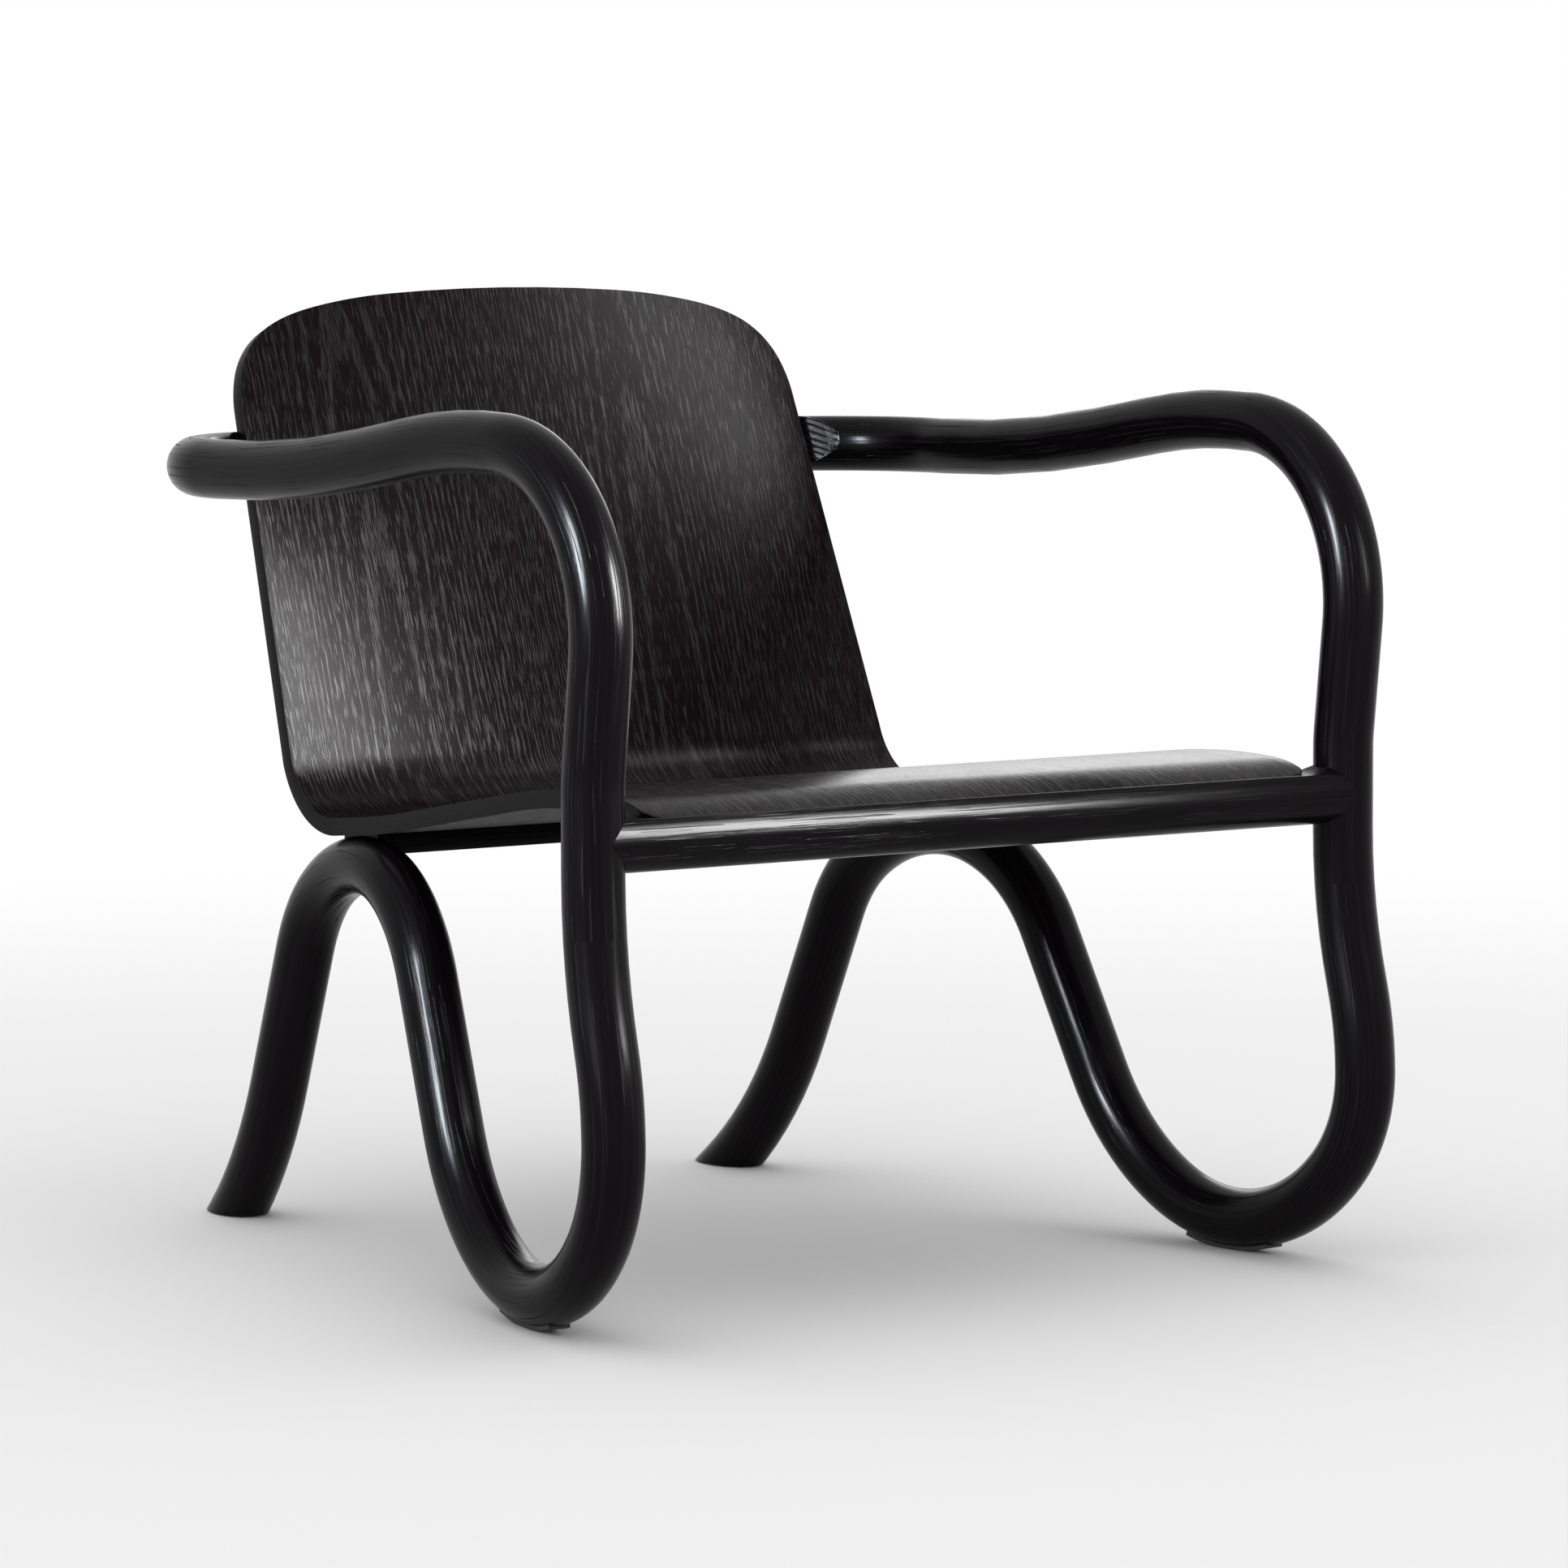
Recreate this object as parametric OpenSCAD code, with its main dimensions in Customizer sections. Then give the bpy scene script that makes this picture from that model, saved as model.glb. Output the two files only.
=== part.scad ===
// Lounge chair: one moulded plywood shell carried by a frame of bent round rods.
// Millimetres, +Z up, the sitter faces -Y. The origin is under the middle of the chair, on the floor.

/* [Rods] */
// Diameter of the bent rods
rod_d = 40; // [36:1:44]
// Distance between the axes of the two front legs at the seat
leg_span = 586; // [560:2:620]
// How far each leg frame turns inward toward the rear, in degrees
leg_toe = 2.5; // [1:0.5:4]
// How far each arm opens outward toward the rear, in degrees
arm_splay = 0.5; // [0:0.5:2]

/* [Arm hoop] */
// Straight length of the post just above the seat
stub_len = 30; // [26:1:60]
// Radius of the bend where the post begins to lean forward
lean_r = 100; // [60:5:200]
// Forward lean of the post, in degrees
lean_a = 7; // [3:0.5:10]
// Length of the leaning post
post_len = 70; // [50:1:110]
// Radius of the bend between post and arm, under the hand
hand_r = 117; // [90:1:150]
// Angle of the bend between post and arm
hand_a = 94; // [90:0.5:100]
// Radius of the long bend that lets the arm fall toward the rear
fall_r = 550; // [400:10:800]
// Angle of the long bend of the arm
fall_a = 11.5; // [6:0.5:16]
// Straight length of the falling arm
arm_len = 61; // [30:1:120]
// Radius of the bend that brings the arm level again
level_r = 1350; // [600:10:1600]
// Radius of the bend from arm to back bar
wrap_r = 100; // [80:1:130]

/* [Leg frames] */
// Straight length of the leg just below the seat
below_len = 22; // [21:1:60]
// Radius of the bend where the leg begins to rake forward
rake_r = 370; // [200:10:500]
// Forward rake of the leg, in degrees
rake_a = 16.5; // [10:0.5:22]
// Part of that bend above the joint of leg and arm hoop, in degrees
joint_a = 6; // [4:0.5:8]
// Radius of the shin
shin_r = 210; // [120:5:300]
// Angle of the shin
shin_a = 16; // [8:0.5:24]
// Radius at the front of the runner loop
toe_r = 101; // [80:1:130]
// Angle at the front of the runner loop
toe_a = 42.5; // [34:0.5:50]
// Inward turn of the loop at its front, in degrees
toe_turn = 5; // [0:0.5:8]
// Radius of the runner on the floor
runner_r = 131; // [110:1:160]
// Angle of the runner on the floor
runner_a = 76.5; // [70:0.5:84]
// Radius of the bend that rises from the runner
rise_r = 168; // [120:1:220]
// Angle of the bend that rises from the runner
rise_a = 34.5; // [28:0.5:40]
// Inward turn of the rising bend, in degrees
rise_turn = 2.5; // [0:0.5:6]
// Radius at the front of the arch
arch_front_r = 118; // [100:1:140]
// Angle at the front of the arch
arch_front_a = 62.5; // [58:0.5:68]
// Outward turn of the arch, in degrees
arch_turn = 2; // [0:0.5:5]
// Radius over the top of the arch
arch_top_r = 141; // [110:1:180]
// Angle over the top of the arch
arch_top_a = 33; // [26:0.5:40]
// Radius behind the arch
haunch_r = 109; // [90:1:140]
// Angle behind the arch
haunch_a = 32.5; // [26:0.5:38]
// Straight length of the rear leg
rear_leg_len = 106; // [80:1:140]
// Radius of the rear foot's backward kick
kick_r = 290; // [200:10:400]
// Angle of the rear foot's backward kick
kick_a = 26.5; // [16:0.5:32]

/* [Shell] */
// Thickness of the moulded plywood
ply_t = 12; // [9:0.5:15]
// Distance of the shell's front edge ahead of the front rail's axis
front_reach = 9; // [4:0.5:12]
// Width of the seat at its front edge
front_w = 516; // [480:2:530]
// Width of the shell at the fold
fold_w = 483; // [450:1:500]
// Radius of the seat's front corners, seen from above
front_corner_r = 11; // [4:1:20]
// Slope of the seat at its front edge, in degrees
nose_slope = 25; // [20:0.5:30]
// Radius of the rounded front of the seat, on its upper face
nose_r = 105; // [80:1:140]
// Angle of the rounded front of the seat
nose_a = 22; // [18:0.5:26]
// Radius of the slow roll into the seat, on its upper face
roll_r = 630; // [400:10:900]
// Backward fall of the seat, in degrees
seat_slope = 9.5; // [6:0.5:12]
// Length of the straight part of the seat
seat_len = 159; // [120:1:200]
// Radius of the shallow dish, on its upper face
dish_r = 650; // [400:10:900]
// Backward fall of the shell over the rear rail, in degrees
rest_slope = 5.5; // [3:0.5:7]
// Length of the shell's straight part over the rear rail
rest_len = 47; // [45:1:70]
// Radius of the fold between seat and back, on its upper face
fold_r = 56; // [40:1:80]
// Lean of the back from upright, in degrees
recline = 21; // [16:0.5:26]
// Height of the back along its slope
back_len = 337; // [300:1:400]
// Narrowing of the back on each side, in degrees
back_taper = 3.3; // [1:0.1:5]

/* [Back outline] */
// Angle of the crown on each side of the middle
crown_a = 4; // [2:0.5:5]
// Radius of the top edge beside the crown
brow_r = 418; // [300:2:500]
// Angle of the top edge beside the crown
brow_a = 8.5; // [6:0.5:10]
// Radius of the shoulder's first bend
shoulder_r = 195; // [140:1:240]
// Angle of the shoulder's first bend
shoulder_a = 5.5; // [4:0.5:8]
// Radius of the shoulder's second bend
turn_r = 114; // [80:1:150]
// Angle of the shoulder's second bend
turn_a = 10; // [6:0.5:14]
// Radius of the upper corner
corner_r = 62; // [40:1:80]
// Angle of the upper corner
corner_a = 42; // [36:0.5:46]
// Radius where the corner runs into the side edge
side_r = 92; // [60:1:120]

/* [Rails and flats] */
// Depth of the flat on the front rail
rail_flat = 6; // [4:0.5:8]
// Radius of the run-out at each end of the front rail's flat
rail_runout_r = 25; // [16:1:30]
// Space between the shell's edge and the end of a flat
flat_margin = 2; // [1:0.5:6]
// Depth of the flat on the back bar
bar_flat = 7.4; // [6:0.1:9]
// Angle at which the back bar's flat turns toward the bend
bar_ramp_a = 45; // [35:1:50]
// Radius of the run-out at each end of the back bar's flat
bar_runout_r = 112; // [90:1:160]
// Thickness of the rear rail
slat_t = 14; // [12:1:18]
// Width of the rear rail, from front to back
slat_w = 45; // [36:1:47]
// Height of the rear rail's upper face above the arches
slat_proud = 1.5; // [1:0.5:4]

/* [Runners and feet] */
// Width of the wear strip under each runner
glide_w = 15; // [10:1:20]
// Thickness of the wear strip
glide_t = 3; // [2.5:0.5:4]
// Length of the wear strip along the runner
glide_len = 78; // [60:2:84]
// How far the wear strip stands out of the runner
glide_proud = 1.5; // [1:0.1:2]
// Depth ground off the wear strip where it meets the floor
glide_flat = 0.3; // [0.2:0.1:0.8]
// Diameter of the pad under each rear foot
pad_d = 28; // [20:1:34]
// Thickness of that pad
pad_t = 1.2; // [1:0.1:3]

/* [Dowels and screws] */
// Diameter of the dowel between arm hoop and leg frame
leg_dowel_d = 16; // [12:1:20]
// Length of the dowel between arm hoop and leg frame
leg_dowel_len = 60; // [50:1:60]
// Diameter of the front rail's dowels
rail_dowel_d = 10; // [8:1:12]
// Length of the front rail's dowels
rail_dowel_len = 60; // [50:1:70]
// Depth of the front rail's dowels in the leg
rail_dowel_in_leg = 24; // [18:1:28]
// Distance between the two dowels of one rail end
rail_dowel_gap = 18; // [14:1:20]
// Diameter of the wood screws
screw_d = 4; // [3.5:0.5:5]
// Diameter of the wood screws' heads
screw_head_d = 8; // [7:0.5:10]
// Height of the wood screws' heads
screw_head_h = 3; // [2:0.5:4]
// Length of the screws that hold the rear rail
slat_screw_len = 30; // [24:1:32]
// Distance between the two screws of one rail end
slat_screw_gap = 26; // [20:1:30]
// Distance of the front screws behind the front rail's axis
front_screw_y = 12; // [9:0.5:13]
// Depth of the front screws in the shell
front_screw_bite = 5.5; // [4:0.5:6]
// Depth of the front screws' heads in the rail, below its axis
front_screw_seat = 9; // [6:1:12]
// Distance between neighbouring screws or bolts across the chair
bolt_gap = 140; // [110:5:160]
// Diameter of the bolts
bolt_d = 6; // [5:1:8]
// Diameter of the bolts' heads
bolt_head_d = 15; // [12:1:17]
// Height of the bolts' heads
bolt_head_h = 3; // [2:0.5:3.5]
// Width of the hexagon socket in the bolts' heads
bolt_socket = 4; // [3:1:5]
// Depth of that socket
bolt_socket_depth = 2; // [1:0.5:2]
// Depth of the bolts' heads in the rear rail
seat_bolt_sink = 4; // [4:0.5:6]
// Depth of the bolts' heads in the back bar
back_bolt_sink = 12; // [8:1:16]
// Diameter of the threaded inserts
insert_d = 9.5; // [9:0.5:11]
// Length of the threaded inserts
insert_len = 8; // [6:0.5:8]

/* [Clearances] */
// Space round each dowel, screw, bolt and insert in its hole
hole_gap = 0.05; // [0.03:0.01:0.1]
// Space round each end let into another piece
glue_gap = 0.1; // [0.05:0.05:0.2]
// Space beyond the end of each dowel, screw and bolt
end_gap = 0.5; // [0.3:0.1:1]

/* [Hidden] */

rod_r = rod_d / 2;
leg_x = leg_span / 2;
$fn = 96;
// Sides of a rod's section
rod_sides = 24;
// Sides of a full circle along a wear strip
strip_sides = 360;
// Largest angle between two sections of a bent rod
rod_step = 7.5;
// Largest angle between two points of a curved outline
outline_step = 1.5;
// Angle between two points where a bend is measured
sample_a = 0.25;
// Reach of a cutting block past the whole chair
far = 1000;

// Frames are 4 x 4 matrices: a rod travels along its frame's Z and bends toward X.
function shift(v) = [[1, 0, 0, v[0]], [0, 1, 0, v[1]], [0, 0, 1, v[2]], [0, 0, 0, 1]];
function spin(a) = [[cos(a), -sin(a), 0, 0], [sin(a), cos(a), 0, 0], [0, 0, 1, 0], [0, 0, 0, 1]];
function tilt(a) = [[cos(a), 0, sin(a), 0], [0, 1, 0, 0], [-sin(a), 0, cos(a), 0], [0, 0, 0, 1]];
turn_over = [[1, 0, 0, 0], [0, -1, 0, 0], [0, 0, -1, 0], [0, 0, 0, 1]];
face_rear = [[0, 1, 0, 0], [0, 0, 1, 0], [1, 0, 0, 0], [0, 0, 0, 1]];
function place_of(m) = [m[0][3], m[1][3], m[2][3]];
function way_of(m) = [m[0][2], m[1][2], m[2][2]];

// A run is a list of stretches, each one [length, radius, angle, twist].
function straight(len) = [len, 0, 0, 0];
function bend(r, a, twist = 0) = [0, r, a, twist];
function bent(r, a) = shift([sign(a) * r, 0, 0]) * tilt(a) * shift([-sign(a) * r, 0, 0]);
function part_step(row, a, len) = spin(row[3]) * (row[2] == 0 ? shift([0, 0, len]) : bent(row[1], a));
function step(row) = part_step(row, row[2], row[0]);
function frames(run, m, i = 0) =
    i == len(run) ? [m] : concat([m], frames(run, m * step(run[i]), i + 1));
// Frames along a run, no more than max_a apart in a bend, each turned back by the run's twists.
function twist_up_to(run, i) = i < 0 ? 0 : run[i][3] + twist_up_to(run, i - 1);
function along(run, starts, max_a) = concat(
    [
        for (i = [0 : len(run) - 1])
            let (n = max(1, ceil(abs(run[i][2]) / max_a)))
            for (k = [0 : n - 1])
                starts[i] * part_step(run[i], run[i][2] * k / n, 0) * spin(-twist_up_to(run, i))
    ],
    [starts[len(run)] * spin(-twist_up_to(run, len(run) - 1))]
);
function points_of(ms) = [for (m = ms) place_of(m)];

// A rod is one skin over rings of points, one ring in each frame.
function ring(m) = [
    for (k = [0 : rod_sides - 1])
        place_of(m * shift([rod_r * cos(360 * k / rod_sides), rod_r * sin(360 * k / rod_sides), 0]))
];
function mirrored(points) = [for (p = points) [-p[0], p[1], p[2]]];
function backward(list) = [for (i = [len(list) - 1 : -1 : 0]) list[i]];
module skin(rings) {
    n = rod_sides;
    last = len(rings) - 1;
    polyhedron(
        points = [for (r = rings) for (p = r) p],
        faces = concat(
            [[for (k = [0 : n - 1]) k]],
            [for (i = [0 : last - 1]) for (k = [0 : n - 1])
                [i * n + k, (i + 1) * n + k, (i + 1) * n + (k + 1) % n]],
            [for (i = [0 : last - 1]) for (k = [0 : n - 1])
                [i * n + k, (i + 1) * n + (k + 1) % n, i * n + (k + 1) % n]],
            [[for (k = [n - 1 : -1 : 0]) last * n + k]]
        )
    );
}

// Leg frame, from the joint under the seat to the rear foot. Heights are measured from the rail first.
leg_start = shift([-leg_x, 0, 0]) * spin(90 - leg_toe) * turn_over;
above_joint = [straight(below_len), bend(rake_r, -joint_a)];
joint_frame = leg_start * step(above_joint[0]) * step(above_joint[1]);
loop_run = [
    bend(rake_r, joint_a - rake_a),
    bend(shin_r, shin_a),
    bend(toe_r, toe_a, toe_turn),
    bend(runner_r, runner_a),
    bend(rise_r, rise_a, rise_turn)
];
loop_frames = frames(loop_run, joint_frame);
loop_points = points_of(along(loop_run, loop_frames, sample_a));
loop_low = min([for (p = loop_points) p[2]]);
loop_front = min([for (p = loop_points) p[1]]);
rail_z = rod_r + glide_proud - glide_flat - loop_low;

// Shell, from its front edge to the top of the back, along the middle of its thickness.
flat_z = rod_r - rail_flat;
shell_start = shift([0, -front_reach, flat_z]) * face_rear * tilt(nose_slope) * shift([-ply_t / 2, 0, 0]);
shell_run = [
    bend(nose_r - ply_t / 2, -nose_a),
    bend(roll_r - ply_t / 2, nose_a - nose_slope - seat_slope),
    straight(seat_len),
    bend(dish_r + ply_t / 2, seat_slope - rest_slope),
    straight(rest_len),
    bend(fold_r + ply_t / 2, 90 + rest_slope - recline),
    straight(back_len + ply_t)
];
shell_frames = frames(shell_run, shell_start);
rest_frame = shell_frames[4] * shift([0, 0, rest_len / 2]);
fold_place = place_of(shell_frames[5]);
back_frame = shell_frames[6];
shell_middle = along(shell_run, shell_frames, outline_step);
function shell_face(side) = [
    for (m = shell_middle) let (p = place_of(m * shift([side * ply_t / 2, 0, 0]))) [p[1], p[2]]
];
shell_section = concat(shell_face(1), backward(shell_face(-1)));

// The limb is as long as it takes to bring the arch up under the rear rail.
arch_bend = bend(arch_front_r, -arch_front_a, -arch_turn);
limb_way = way_of(loop_frames[5]);
short_arch = place_of(loop_frames[5] * step(arch_bend));
rest_face = place_of(rest_frame * shift([-ply_t / 2, 0, 0]));
limb_len = (rest_face[2] - rod_r - slat_proud - short_arch[2]
            - tan(rest_slope) * (short_arch[1] - rest_face[1]))
           / (limb_way[2] + tan(rest_slope) * limb_way[1]);
leg_run = concat(loop_run, [
    straight(limb_len),
    arch_bend,
    bend(arch_top_r, -arch_top_a),
    bend(haunch_r, -haunch_a),
    straight(rear_leg_len),
    bend(kick_r, kick_a),
    straight(2 * rod_d)
]);
leg_frames = frames(leg_run, joint_frame);
arch_x = -place_of(leg_frames[7])[0];
foot_place = place_of(leg_frames[11]);
foot_way = way_of(leg_frames[11]);
foot_run = (pad_t - rail_z - foot_place[2]) / foot_way[2];
foot_x = foot_place[0] + foot_run * foot_way[0];
foot_y = foot_place[1] + foot_run * foot_way[1];
foot_rear = foot_y + rod_r * norm([foot_way[1], foot_way[2]]) / abs(foot_way[2]);
leg_rings = [for (m = along(leg_run, leg_frames, rod_step)) ring(m)];

// Arm hoop, from the joint up through the post, arm and back bar to the middle of the chair.
post_start = shift([-leg_x, 0, 0]) * spin(90 + arm_splay);
arm_run = [
    straight(stub_len),
    bend(lean_r, -lean_a),
    straight(post_len),
    bend(hand_r, hand_a),
    bend(fall_r, fall_a),
    straight(arm_len),
    bend(level_r, 90 + lean_a - hand_a - fall_a)
];
wrap_bend = bend(wrap_r, 90 + arm_splay, -90);
arm_frames = frames(arm_run, post_start);
short_bar = place_of(arm_frames[7] * step(wrap_bend));
back_place = place_of(back_frame);
bar_z = short_bar[2];
bar_behind_ply = ply_t / 2 + rod_r - bar_flat;
bar_y = back_place[1] + (bar_behind_ply + (bar_z - back_place[2]) * sin(recline)) / cos(recline);
tail_len = (bar_y - short_bar[1]) / cos(arm_splay);
hoop_run = concat(arm_run, [straight(tail_len), wrap_bend]);
above_frames = along(above_joint, frames(above_joint, leg_start), rod_step);
half_hoop = [
    for (m = concat(
        [for (i = [len(above_frames) - 1 : -1 : 1]) above_frames[i] * turn_over],
        along(hoop_run, frames(hoop_run, post_start), rod_step)
    )) ring(m)
];
hoop_rings = concat(half_hoop, [for (r = backward(half_hoop)) mirrored(r)]);

// The front rail lies this far ahead of the middle of the chair.
rail_y = -(foot_rear + loop_front - rod_r) / 2;

// Outline of the back: bends from the crown to the side edge, each [radius, angle].
side_bends = [
    [brow_r, brow_a],
    [shoulder_r, shoulder_a],
    [turn_r, turn_a],
    [corner_r, corner_a],
    [side_r, 90 - back_taper - crown_a - brow_a - shoulder_a - turn_a - corner_a]
];
function arc_points(bends, p, a, i = 0) =
    i == len(bends) ? [p] :
    let (r = bends[i][0], turn = bends[i][1], n = ceil(turn / outline_step))
    concat(
        [for (k = [0 : n - 1]) let (b = a + turn * k / n) p + r * [sin(b) - sin(a), cos(b) - cos(a)]],
        arc_points(bends, p + r * [sin(a + turn) - sin(a), cos(a + turn) - cos(a)], a + turn, i + 1)
    );
side_arc = arc_points(side_bends, [0, back_len], crown_a);
side_end = side_arc[len(side_arc) - 1];
// The crown is the bend in the middle of the top edge that lets the corners meet the side edges.
crown_r = (fold_w / 2 - tan(back_taper) * side_end[1] - side_end[0])
          / (sin(crown_a) - tan(back_taper) * (1 - cos(crown_a)));
half_outline = arc_points(concat([[crown_r, crown_a]], side_bends), [0, back_len], 0);
back_outline = concat(
    [[-fold_w / 2, -2 * fold_r], [fold_w / 2, -2 * fold_r], [fold_w / 2, 0]],
    backward(half_outline),
    [for (p = half_outline) [-p[0], p[1]]],
    [[-fold_w / 2, 0]]
);
bar_level = norm([bar_y - back_place[1], bar_z - back_place[2]]);
bar_edge = fold_w / 2 - tan(back_taper) * bar_level + flat_margin;

// Pieces are drawn from the front rail's axis and moved to their place in the chair here.
module in_chair() {
    translate([0, rail_y, rail_z]) children();
}
module left_side() {
    mirror([1, 0, 0]) children();
}
module both_sides() {
    children();
    left_side() children();
}
module across() {
    for (k = [-1 : 1]) translate([k * bolt_gap, 0, 0]) children();
}
// Frames for bolts: Z runs from the shell's face into the wood that carries it, X across the chair.
module under_seat() {
    multmatrix(rest_frame) translate([-ply_t / 2, 0, 0]) rotate([0, -90, 0]) children();
}
module behind_back() {
    translate([0, bar_y, bar_z])
        rotate([-recline, 0, 0])
            translate([0, bar_flat - rod_r, 0])
                rotate([-90, 0, 0]) children();
}
module block(low, high) {
    translate(low) cube(high - low);
}

// Seat shell
module seat_plan() {
    front_y = -front_reach;
    rear_y = fold_place[1];
    r = front_corner_r;
    side_slope = (front_w - fold_w) / 2 / (rear_y - front_y);
    corner_x = front_w / 2 - side_slope * r - r;
    polygon([
        [-corner_x, front_y], [corner_x, front_y],
        [corner_x + r, front_y + r], [fold_w / 2, rear_y],
        [-fold_w / 2, rear_y], [-corner_x - r, front_y + r]
    ]);
    for (side = [-1, 1]) translate([side * corner_x, front_y + r]) circle(r = r);
}
// Turns a drawing in X and Y so that it stands in Y and Z, and thickens along X.
module stand(height) {
    rotate([90, 0, 90]) linear_extrude(height = height, center = true) children();
}
module seat_shell() {
    color([0.09, 0.08, 0.08])
    in_chair()
    difference() {
        intersection() {
            stand(front_w + 2 * ply_t) polygon(shell_section);
            union() {
                translate([0, 0, -far]) linear_extrude(height = 2 * far) seat_plan();
                multmatrix(back_frame) translate([fold_r, 0, 0]) stand(4 * fold_r) polygon(back_outline);
            }
        }
        block([-far, -far, -far], [far, rod_r + glue_gap, flat_z]);
        across() under_seat() insert_hole();
        across() behind_back() insert_hole();
        across() front_screw_shank(hole_gap, end_gap);
    }
}

// Arm hoop
module bar_flat_cut() {
    translate([0, bar_y, bar_z])
        rotate([-recline, 0, 0])
            translate([0, bar_flat - rod_r, 0]) {
                block([-bar_edge, -rod_d, -rod_d], [bar_edge, 0, rod_d]);
                both_sides() intersection() {
                    translate([-bar_edge, 0, 0])
                        rotate([0, 0, bar_ramp_a])
                            translate([0, -bar_runout_r, -rod_d]) cylinder(r = bar_runout_r, h = 2 * rod_d);
                    block([-far, -far, -rod_d], [-bar_edge, 0, rod_d]);
                }
            }
}
module arm_hoop() {
    color([0.05, 0.05, 0.055])
    in_chair()
    difference() {
        skin(hoop_rings);
        bar_flat_cut();
        both_sides() leg_dowel(hole_gap, end_gap);
        both_sides() rail_dowels(hole_gap, end_gap);
        across() behind_back() bolt_hole(bar_flat_to_rear, back_bolt_sink);
    }
}
bar_flat_to_rear = rod_d - bar_flat;

// Leg frames
module leg_frame() {
    color([0.05, 0.05, 0.055])
    in_chair()
    difference() {
        skin(leg_rings);
        block([-far, -far, -far], [far, far, pad_t - rail_z]);
        leg_dowel(hole_gap, end_gap);
        glide_strip(glue_gap, rod_r);
        slat(glue_gap, rod_d);
        slat_screws_at_end() screw(slat_screw_len, hole_gap, end_gap);
    }
}
module leg_frame_right() {
    leg_frame();
}
module leg_frame_left() {
    left_side() leg_frame();
}

// Rails
module front_rail() {
    color([0.05, 0.05, 0.055])
    in_chair()
    difference() {
        rotate([0, 90, 0]) cylinder(r = rod_r, h = leg_span, center = true);
        both_sides() translate([-leg_x, 0, -rod_d]) cylinder(r = rod_r + glue_gap, h = 2 * rod_d);
        rail_flat_cut();
        both_sides() rail_dowels(hole_gap, end_gap);
        across() front_screw(hole_gap, end_gap);
    }
}
module rail_flat_cut() {
    edge = front_w / 2 + flat_margin;
    block([-edge, -rod_d, flat_z], [edge, rod_d, rod_d]);
    both_sides() translate([-edge, rod_d, flat_z + rail_runout_r])
        rotate([90, 0, 0]) cylinder(r = rail_runout_r, h = 2 * rod_d);
}
module slat(gap = 0, rise = 0) {
    multmatrix(rest_frame)
        block([-ply_t / 2 - slat_t, -arch_x - gap, -slat_w / 2 - gap],
              [rise - ply_t / 2, arch_x + gap, slat_w / 2 + gap]);
}
module slat_screws_at_end() {
    for (side = [-0.5, 0.5])
        multmatrix(rest_frame)
            translate([-ply_t / 2, rod_r / 2 - arch_x, side * slat_screw_gap])
                rotate([0, -90, 0]) children();
}
module rear_rail() {
    color([0.05, 0.05, 0.055])
    in_chair()
    difference() {
        slat();
        both_sides() slat_screws_at_end() screw(slat_screw_len, hole_gap, end_gap);
        across() under_seat() bolt_hole(slat_t, seat_bolt_sink);
    }
}

// Wear strips and pads
glide_a = glide_len / (runner_r + rod_r) * 180 / PI;
runner_low_a = 90 + rake_a - shin_a - toe_a;
module glide_strip(gap = 0, more = 0) {
    gap_a = gap / runner_r * 180 / PI;
    multmatrix(loop_frames[3])
        translate([runner_r, 0, 0])
            rotate([0, runner_low_a - glide_a / 2 - gap_a, 0])
                rotate([90, 0, 180])
                    rotate_extrude(angle = glide_a + 2 * gap_a, $fn = strip_sides)
                        translate([runner_r + rod_r + glide_proud - glide_t - gap, -glide_w / 2 - gap])
                            square([glide_t + gap + more, glide_w + 2 * gap]);
}
module runner_glide() {
    color([0.12, 0.12, 0.12])
    in_chair()
    difference() {
        glide_strip();
        block([-far, -far, -far], [far, far, -rail_z]);
    }
}
module runner_glide_right() {
    runner_glide();
}
module runner_glide_left() {
    left_side() runner_glide();
}
module rear_foot_pad() {
    color([0.12, 0.12, 0.12])
    in_chair() translate([foot_x, foot_y, -rail_z]) cylinder(d = pad_d, h = pad_t);
}
module rear_foot_pad_right() {
    rear_foot_pad();
}
module rear_foot_pad_left() {
    left_side() rear_foot_pad();
}

// Dowels
module leg_dowel(gap = 0, deeper = 0) {
    multmatrix(joint_frame)
        cylinder(r = leg_dowel_d / 2 + gap, h = leg_dowel_len + 2 * deeper, center = true);
}
module leg_joint_dowels() {
    color([0.6, 0.48, 0.33])
    in_chair() both_sides() leg_dowel();
}
module rail_dowels(gap = 0, deeper = 0) {
    for (side = [-0.5, 0.5])
        translate([rod_r - leg_x - rail_dowel_in_leg - deeper, side * rail_dowel_gap, 0])
            rotate([0, 90, 0]) cylinder(r = rail_dowel_d / 2 + gap, h = rail_dowel_len + 2 * deeper);
}
module front_rail_dowels() {
    color([0.6, 0.48, 0.33])
    in_chair() both_sides() rail_dowels();
}

// Wood screws. Z points from the head's face down the shank.
module screw(len, gap = 0, deeper = 0) {
    cylinder(r1 = screw_head_d / 2 + gap, r2 = screw_d / 2 + gap, h = screw_head_h);
    cylinder(r = screw_d / 2 + gap, h = len + deeper);
}
module rear_rail_screws() {
    color([0.75, 0.75, 0.72])
    in_chair() both_sides() slat_screws_at_end() screw(slat_screw_len);
}
module front_screw_shank(gap = 0, deeper = 0) {
    translate([0, front_screw_y, -front_screw_seat])
        cylinder(r = screw_d / 2 + gap, h = front_screw_seat + flat_z + front_screw_bite + deeper);
}
module front_screw(gap = 0, deeper = 0) {
    front_screw_shank(gap, deeper);
    translate([0, front_screw_y, -front_screw_seat - screw_head_h - (deeper > 0 ? rod_d : 0)])
        cylinder(r = screw_head_d / 2 + gap, h = screw_head_h + (deeper > 0 ? rod_d : 0));
}
module front_screws() {
    color([0.75, 0.75, 0.72])
    in_chair() across() front_screw();
}

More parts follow.
